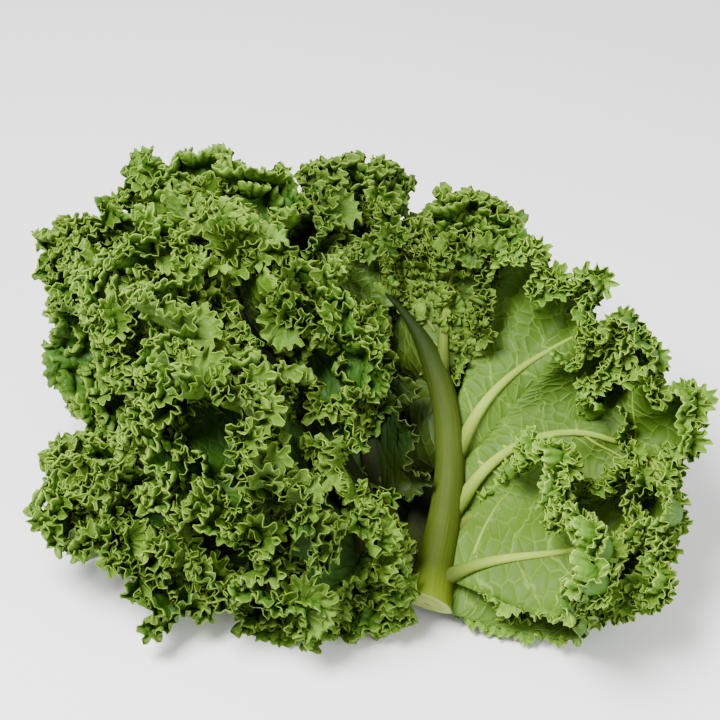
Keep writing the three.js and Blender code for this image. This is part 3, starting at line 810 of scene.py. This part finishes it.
def add_bar(mesh, path, sideways, height_dir, half_width, upper, lower, sides, tone,
            grooves=0, capped=False, back=0, along_from=0):
    """A bar along a path, of a section with its own height above and below the path. Its colours begin as if
    along_from mm of it had gone before."""
    angle = 2 * np.pi * np.arange(sides) / sides
    wave = 1 + grooves * (np.cos(9 * angle) + 0.6 * np.cos(14 * angle + 1))
    x = np.cos(angle) * wave
    z = np.sin(angle) * wave
    steps = len(path)
    heights = np.where(z[None, :] > 0, upper[:, None], lower[:, None]) * z[None, :]
    ring = path[:, None] + sideways[:, None] * (half_width[:, None] * x[None, :])[..., None]
    ring = ring + height_dir[:, None] * heights[..., None]
    first_ring = np.arange(sides)
    last_ring = first_ring + (steps - 1) * sides
    triangles = np.concatenate([between_rings(steps, sides), fan(last_ring)])
    if not capped:
        triangles = np.concatenate([triangles, fan(first_ring)[:, ::-1]])
    run = along_from + arc_length(path)
    along = np.broadcast_to(run[:, None], (steps, sides))
    around = np.broadcast_to(angle[None, :], (steps, sides))
    mesh.add(pressed(ring), triangles, slot=STALK_SLOT, along=along, across=around, tone=tone, back=back)
    if capped:
        add_cut(mesh, ring[0], path[0], tone)


def add_cut(mesh, rim, centre, tone):
    """The cut face at the end of a stalk: rings from the skin to the pith, its middle a little sunk."""
    shares = np.array([1, 0.93, 0.8, 0.6, 0.4, 0.2, 0.02])
    sides = len(rim)
    away = unit(np.cross(rim[sides // 4] - rim[0], rim[sides // 2] - rim[0]))
    sunk = 0.3 * (1 - shares**2)
    rings = centre + (rim[None] - centre) * shares[:, None, None] + sunk[:, None, None] * away
    last_ring = np.arange(sides) + (len(shares) - 1) * sides
    triangles = np.concatenate([
        np.roll(between_rings(len(shares), sides)[:, ::-1], 1, axis=1),
        fan(last_ring)[:, ::-1],
    ])
    mesh.add(rings, triangles, slot=STALK_SLOT, edge=np.repeat(1 - shares, sides) + 1, tone=tone)


def add_stalk(mesh, midrib, leaf, tone):
    """The stalk and midrib, with its steps a little closer together near the cut end."""
    s = np.linspace(0, 1, STALK_STEPS + 1) ** 1.15
    _, up, left = midrib.frame(s)
    radius = midrib.radius_at(s) * (1 + leaf.get("stalk_swell", 0) * np.exp(-s / STALK_SWELL_LENGTH))
    add_bar(
        mesh, midrib.at(s), left, up, radius, STALK_FLATNESS * radius, radius,
        STALK_SIDES, tone, grooves=STALK_GROOVES, capped=True,
    )


def add_rib(mesh, lobe, midrib, leaf, tone):
    """The rib that stands out of a lobe's back, thickest where it leaves the midrib."""
    surface = ruffled_surface(lobe, midrib)
    start, drop, power = lobe["rib"]
    out = RIB_REACH * np.linspace(0, 1, RIB_STEPS + 1) ** 1.2
    q = start - drop * out**power
    h = SLOPE_STEP
    path = surface(q, out)
    run = arc_length(path)
    _, up, _ = midrib.frame(lobe["at"])
    midrib_length = arc_length(midrib.at(np.linspace(0, 1, STALK_STEPS)))[-1]
    leaves_at = lobe["at"] + lobe["root"] * start * (lobe["side"] or 1)
    foot = max(leaves_at - RIB_JOIN_DOWN / midrib_length, RIB_LOWEST_FOOT)
    joins = np.exp(-run / RIB_JOIN_LENGTH)[:, None]
    path = path - joins * (midrib.at(leaves_at) - midrib.at(foot) + RIB_JOIN_OUT * up)
    across = unit(surface(q + h, out + h) - surface(q - h, out + h))
    along = unit(np.gradient(path, axis=0))
    normal = unit(np.cross(across, along))
    sideways = np.cross(along, normal)
    size = leaf.get("rib_radius", RIB_RADIUS) * min(1, lobe["length"] / RIB_FULL_LENGTH)
    radius = size * (1 - out / RIB_REACH) ** 0.75 + RIB_SWELL * size * np.exp(-run / RIB_SWELL_LENGTH)
    radius = radius * (RIB_JOIN_END + (1 - RIB_JOIN_END) * smooth(run, 0, RIB_JOIN_TAPER)) + RIB_TIP_RADIUS
    add_bar(
        mesh, path, sideways, -normal, radius, RIB_HEIGHT * radius, RIB_DEPTH * radius,
        RIB_SIDES, tone, back=1,
    )
    if "lobes" in leaf:
        add_branches(mesh, surface, lobe, q, out, path, tone)


def add_branches(mesh, surface, lobe, rib_q, rib_out, rib_path, tone):
    """Veins that branch off a rib to both sides and bend towards the edge, where nothing lies over them."""
    run = arc_length(rib_path)
    spread = math.radians(lobe["spread"])
    step = np.linspace(0, 1, BRANCH_STEPS + 1)
    for k, start in enumerate(np.arange(BRANCH_FIRST * BRANCH_SPACING, run[-1], BRANCH_SPACING / 2)):
        q0 = np.interp(start, run, rib_q)
        out0 = np.interp(start, run, rib_out)
        side = 1 if k % 2 else -1
        slant = math.radians(BRANCH_SLANT + 6 * draw(k, 3))
        length = (BRANCH_LENGTH + 0.06 * draw(k, 4)) * lobe["length"]
        bend = slant * (1 - 0.5 * step)
        forwards = out0 * lobe["length"] + length * np.cumsum(np.cos(bend)) / BRANCH_STEPS
        sideways = length * (np.cumsum(np.sin(bend)) - np.sin(bend[0])) / BRANCH_STEPS
        out = forwards / lobe["length"]
        q = q0 + side * sideways / (forwards * spread)
        path = surface(q, out)
        _, normal = surface_axes(surface, q, out)
        shown = (out < BRANCH_OUT) & (np.abs(q) < BRANCH_ACROSS)
        for i in np.flatnonzero(shown):
            way = Vector(-normal[i])
            start_at = Vector(to_metres(path[i])) + (CLEAR_OF_BLADE + lobe["sag"]) * MM * way
            shown[i] = SOLIDS.ray_cast(start_at, way, COVERED_WITHIN * MM)[0] is None
        shown[:BESIDE_RIB] = True
        count = len(out) if shown.all() else int(np.argmin(shown))
        if count < BRANCH_LEAST:
            continue
        path, normal = path[:count], normal[:count]
        along = unit(np.gradient(path, axis=0))
        radius = BRANCH_RADIUS * (1 - 0.8 * np.linspace(0, 1, count)) * (1 - 0.4 * out0)
        add_bar(
            mesh, path, np.cross(along, normal), -normal, radius, RIB_HEIGHT * radius + 0.2, 0 * radius,
            BRANCH_SIDES, tone, back=1, along_from=BRANCH_COLOURED_FROM,
        )


# ---- materials

class Nodes:
    """Shorthand for building a material from nodes."""

    def __init__(self, name):
        self.material = bpy.data.materials.new(name)
        self.material.use_nodes = True
        self.tree = self.material.node_tree
        self.tree.nodes.clear()

    def finished(self, shader):
        """The material, with this shader for its surface."""
        self.new("ShaderNodeOutputMaterial", {"Surface": shader.outputs[0]})
        return self.material

    def new(self, kind, inputs=None, **settings):
        node = self.tree.nodes.new(kind)
        for name, value in settings.items():
            setattr(node, name, value)
        for name, value in (inputs or {}).items():
            self.put(node.inputs[name], value)
        return node

    def put(self, socket, value):
        if isinstance(value, bpy.types.NodeSocket):
            self.tree.links.new(value, socket)
        else:
            socket.default_value = value

    def value(self, name):
        return self.new("ShaderNodeAttribute", attribute_name=name).outputs["Fac"]

    def math(self, operation, *values, clamp=False):
        node = self.new("ShaderNodeMath", operation=operation, use_clamp=clamp)
        for socket, value in zip(node.inputs, values):
            self.put(socket, value)
        return node.outputs[0]

    def plus(self, a, b):
        return self.math("ADD", a, b)

    def minus(self, a, b, clamp=False):
        return self.math("SUBTRACT", a, b, clamp=clamp)

    def times(self, a, b, clamp=False):
        return self.math("MULTIPLY", a, b, clamp=clamp)

    def over(self, a, b, clamp=False):
        return self.math("DIVIDE", a, b, clamp=clamp)

    def ramp(self, factor, stops):
        node = self.new("ShaderNodeValToRGB", {"Fac": factor})
        elements = node.color_ramp.elements
        while len(elements) < len(stops):
            elements.new(0.5)
        for element, (position, colour) in zip(elements, stops):
            element.position = position
            element.color = (*colour, 1)
        return node.outputs["Color"]

    def mix(self, factor, a, b, blend="MIX"):
        node = self.new("ShaderNodeMix", data_type="RGBA", blend_type=blend)
        self.put(node.inputs[0], factor)
        for socket, colour in ((node.inputs[6], a), (node.inputs[7], b)):
            self.put(socket, (*colour, 1) if isinstance(colour, tuple) else colour)
        return node.outputs[2]

    def shaded(self, colour, value):
        """A colour made darker or lighter by a value."""
        grey = self.new("ShaderNodeCombineColor", {"Red": value, "Green": value, "Blue": value})
        return self.mix(1.0, colour, grey.outputs[0], blend="MULTIPLY")

    def vector(self, x, y, z=0.0):
        node = self.new("ShaderNodeCombineXYZ", {"X": x, "Y": y, "Z": z})
        return node.outputs[0]

    def noise(self, vector, scale, detail=2.0):
        node = self.new("ShaderNodeTexNoise", {"Vector": vector, "Scale": scale, "Detail": detail})
        return node.outputs["Fac"]


def blade_material():
    """Leaf blade: dark inside and bright along the edge, as painted shade and a painted highlight, paler and
    greyer behind, with raised veins.
    """
    n = Nodes("kale_blade")
    edge, along, across = n.value("edge"), n.value("along"), n.value("across")
    back, tone = n.value("back"), n.value("tone")
    place = n.new("ShaderNodeTexCoord").outputs["Object"]

    # Veins: branches that leave the rib slantwise, and a net of fine ones between them.
    net_place = n.vector(along, across)
    drift = n.times(n.minus(n.noise(net_place, 0.16), 0.5), 9.0)
    aside = n.math("ABSOLUTE", across)
    slant = n.plus(n.minus(along, n.times(aside, 0.85)), drift)
    turns = n.math("FRACT", n.over(slant, VEIN_SPACING))
    from_branch = n.times(n.minus(0.5, n.math("ABSOLUTE", n.minus(turns, 0.5))), VEIN_SPACING)
    branch_width = n.math("MAXIMUM", n.minus(1.1, n.times(aside, 0.03)), 0.35)
    branch = n.minus(1.0, n.over(from_branch, branch_width), clamp=True)
    net = n.new("ShaderNodeTexVoronoi", {"Vector": net_place, "Scale": 0.19, "Randomness": 0.9},
                feature="DISTANCE_TO_EDGE", voronoi_dimensions="2D").outputs["Distance"]
    fine = n.minus(1.0, n.over(net, 0.075), clamp=True)
    between = n.over(net, 0.28, clamp=True)
    vein = n.math("MAXIMUM", branch, n.times(fine, 0.6))

    # Colour of the upper side by distance from the edge, and of the back, with painted light and shade.
    patches = n.noise(place, 28.0, 3.0)
    inwards = n.over(n.plus(edge, n.times(n.minus(patches, 0.5), 6.0)), BLADE_COLOUR_DEPTH, clamp=True)
    # Brighter and yellower along the edge, darker inwards: painted highlight where edges catch the light,
    # painted shade among the ruffles.
    upper = n.ramp(inwards, [
        (0.0, (0.15, 0.27, 0.030)),
        (0.02, (0.095, 0.20, 0.018)),
        (0.10, (0.050, 0.135, 0.010)),
        (0.35, (0.028, 0.088, 0.006)),
        (1.0, (0.032, 0.098, 0.008)),
    ])
    # A painted highlight along the very edge.
    rim = n.minus(1.0, n.over(edge, RIM_HIGHLIGHT_WIDTH), clamp=True)
    upper = n.mix(rim, upper, (0.40, 0.58, 0.07))
    # The back is paler and greyer; near the edge it too is brighter, as painted highlight.
    behind = n.ramp(inwards, [
        (0.0, (0.16, 0.30, 0.030)),
        (0.15, (0.072, 0.155, 0.012)),
        (1.0, (0.066, 0.136, 0.013)),
    ])
    behind = n.shaded(behind, n.plus(0.5, n.times(patches, 0.96)))
    colour = n.mix(back, upper, behind)
    vein_colour = n.mix(back, (0.08, 0.17, 0.014), (0.17, 0.28, 0.038))
    vein_share = n.times(vein, n.plus(0.35, n.times(back, 0.45)))
    colour = n.mix(vein_share, colour, vein_colour)
    mottle = n.noise(place, 160.0, 2.0)
    # Random mottle, with painted shade on leaves and lobes deep in the bunch, held above a least value.
    shade = n.plus(0.72, n.plus(n.times(mottle, 0.5), n.times(tone, 0.10)))
    colour = n.shaded(colour, n.math("MAXIMUM", shade, DARKEST_BLADE_SHADE))
    yellowed = n.times(n.minus(n.noise(place, 14.0, 1.0), 0.45), 1.6, clamp=True)
    colour = n.mix(n.times(yellowed, 0.3), colour, (0.17, 0.24, 0.012))

    # Relief: veins stand out of the back and are sunk in the upper side, with blisters between them.
    blister = n.noise(place, 260.0, 2.0)
    way = n.minus(n.times(back, 2.0), 1.0)
    veined = n.minus(n.times(vein, 0.6), n.times(between, 0.9))
    relief = n.plus(n.times(veined, way), n.times(blister, 0.5))
    bump = n.new("ShaderNodeBump", {"Height": relief, "Strength": 0.55, "Distance": 0.0007})
    skin = n.new("ShaderNodeBsdfPrincipled", {
        "Base Color": colour,
        "Roughness": n.plus(0.42, n.times(mottle, 0.25)),
        "Specular IOR Level": 0.22,
        "Normal": bump.outputs["Normal"],
    })
    lit_through = n.mix(1.0, colour, (1.0, 0.98, 0.5), blend="MULTIPLY")
    glow = n.new("ShaderNodeBsdfTranslucent", {"Color": lit_through, "Normal": bump.outputs["Normal"]})
    blend = n.new("ShaderNodeMixShader", {0: 0.2, 1: skin.outputs[0], 2: glow.outputs[0]})
    return n.finished(blend)


def stalk_material():
    """Stalk and ribs: pale green with fibres along them, and a cut face with a darker ring."""
    n = Nodes("kale_stalk")
    along, around, cut = n.value("along"), n.value("across"), n.value("edge")
    is_rib = n.value("back")
    place = n.new("ShaderNodeTexCoord").outputs["Object"]
    turned = n.vector(n.times(n.math("COSINE", around), FIBRE_RADIUS),
                      n.times(n.math("SINE", around), FIBRE_RADIUS),
                      n.times(along, 0.05))
    fibres = n.noise(turned, 1.3, 4.0)
    # Paler near the cut end and darker towards the top, where the darkening is painted shade as the midrib runs
    # in under the leaves.
    stalk = n.ramp(n.over(along, STALK_COLOUR_LENGTH, clamp=True), [
        (0.0, (0.130, 0.190, 0.010)),
        (0.12, (0.050, 0.075, 0.005)),
        (0.5, (0.052, 0.078, 0.008)),
        (0.65, (0.034, 0.055, 0.005)),
        (0.8, (0.015, 0.029, 0.002)),
        (1.0, (0.006, 0.014, 0.001)),
    ])
    rib = n.ramp(n.over(along, RIB_COLOUR_LENGTH, clamp=True), [
        (0.0, (0.052, 0.078, 0.008)),
        (0.2, (0.060, 0.090, 0.010)),
        (0.35, (0.15, 0.22, 0.026)),
        (0.6, (0.30, 0.42, 0.050)),
        (1.0, (0.25, 0.37, 0.044)),
    ])
    colour = n.mix(is_rib, stalk, rib)
    # Painted shade on stalks and ribs that lie deep in the bunch.
    colour = n.shaded(colour, n.plus(1.0, n.times(n.value("tone"), 0.22)))
    colour = n.shaded(colour, n.plus(0.7, n.times(fibres, 0.6)))
    pith = n.ramp(n.minus(cut, 1.0, clamp=True), [
        (0.0, (0.16, 0.22, 0.03)),
        (0.12, (0.30, 0.37, 0.09)),
        (0.35, (0.22, 0.29, 0.06)),
        (1.0, (0.33, 0.39, 0.11)),
    ])
    colour = n.mix(n.math("GREATER_THAN", cut, 0.5), colour, pith)
    bump = n.new("ShaderNodeBump", {"Height": fibres, "Strength": 0.5, "Distance": 0.0006})
    skin = n.new("ShaderNodeBsdfPrincipled", {
        "Base Color": colour,
        "Roughness": n.plus(0.5, n.times(n.noise(place, 200.0), 0.2)),
        "Specular IOR Level": 0.1,
        "Subsurface Weight": 0.12,
        "Subsurface Radius": (0.004, 0.005, 0.002),
        "Normal": bump.outputs["Normal"],
    })
    return n.finished(skin)


# ---- the bunch

def packed_points(node):
    """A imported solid's vertices, for finding the nearest to a point."""
    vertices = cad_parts[node].data.vertices
    tree = KDTree(len(vertices))
    for i, vertex in enumerate(vertices):
        tree.insert(vertex.co, i)
    tree.balance()
    return tree


def make_leaf(leaf, materials):
    midrib = Midrib(leaf)
    tree = packed_points(leaf["name"])
    # Painted shade for stalk and ribs deep in the bunch; each rib also takes half of its lobe's painted shade.
    tone = leaf.get("stalk_painted_shade", 0)
    blades, frills = Mesh(), Mesh()
    add_stalk(blades, midrib, leaf, tone)
    for lobe in lobes_of(leaf):
        lobe = as_packed(lobe, midrib, tree)
        lobe["length"] *= leaf.get("stretch", 1)
        if lobe["id"] in leaf.get("inner", ()):
            lobe.update(INNER_LOBE, length=INNER_LENGTH * lobe["length"])
        add_lobe(blades, frills, lobe, midrib, leaf)
        if lobe["id"] not in leaf.get("bare", ()):
            add_rib(blades, lobe, midrib, leaf, tone + 0.5 * lobe["tone"])
    for mesh, part in ((blades, "blade"), (frills, "frills")):
        piece = mesh.build(f"{leaf['name']}_{part}", materials)
        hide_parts(leaf["name"])
        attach(piece, "root")


def make_floor():
    mesh = bpy.data.meshes.new("floor")
    size = 3
    corners = [(-size, -size, 0), (size, -size, 0), (size, size, 0), (-size, size, 0)]
    mesh.from_pydata(corners, [], [(0, 1, 2, 3)])
    floor = placed("floor", mesh)
    n = Nodes("floor_white")
    skin = n.new("ShaderNodeBsdfPrincipled", {"Base Color": (0.96, 0.96, 0.955, 1), "Roughness": 0.7})
    mesh.materials.append(n.finished(skin))


def make_light(name, place, power, size):
    data = bpy.data.lights.new(name, "AREA")
    data.energy = power
    data.size = size
    light = placed(name, data)
    light.location = place
    light.rotation_euler = (Vector(LIGHTS_AIM) - Vector(place)).to_track_quat("-Z", "Y").to_euler()


def make_camera():
    data = bpy.data.cameras.new("camera")
    data.lens = CAMERA_LENS
    data.sensor_width = CAMERA_SENSOR
    camera = placed("camera", data)
    e = math.radians(CAMERA_ELEVATION)
    back = Vector((0, -math.cos(e), math.sin(e)))
    camera.location = Vector(to_metres(CAMERA_AIM)) + back * CAMERA_DISTANCE
    camera.rotation_euler = (-back).to_track_quat("-Z", "Y").to_euler()
    bpy.context.scene.camera = camera


def make_surroundings(strength):
    world = bpy.data.worlds.new("studio")
    bpy.context.scene.world = world
    world.use_nodes = True
    background = world.node_tree.nodes["Background"]
    background.inputs["Color"].default_value = (1, 1, 1, 1)
    background.inputs["Strength"].default_value = strength


SKY = sky_directions()
SOLIDS = packed_shapes()
materials = [blade_material(), stalk_material()]
for leaf in LEAVES:
    make_leaf(leaf, materials)

make_floor()
make_light("key", place=(-0.30, -0.25, 0.85), power=23, size=0.35)
make_light("fill", place=(0.70, -0.45, 0.55), power=6, size=0.6)
make_surroundings(strength=0.8)
make_camera()
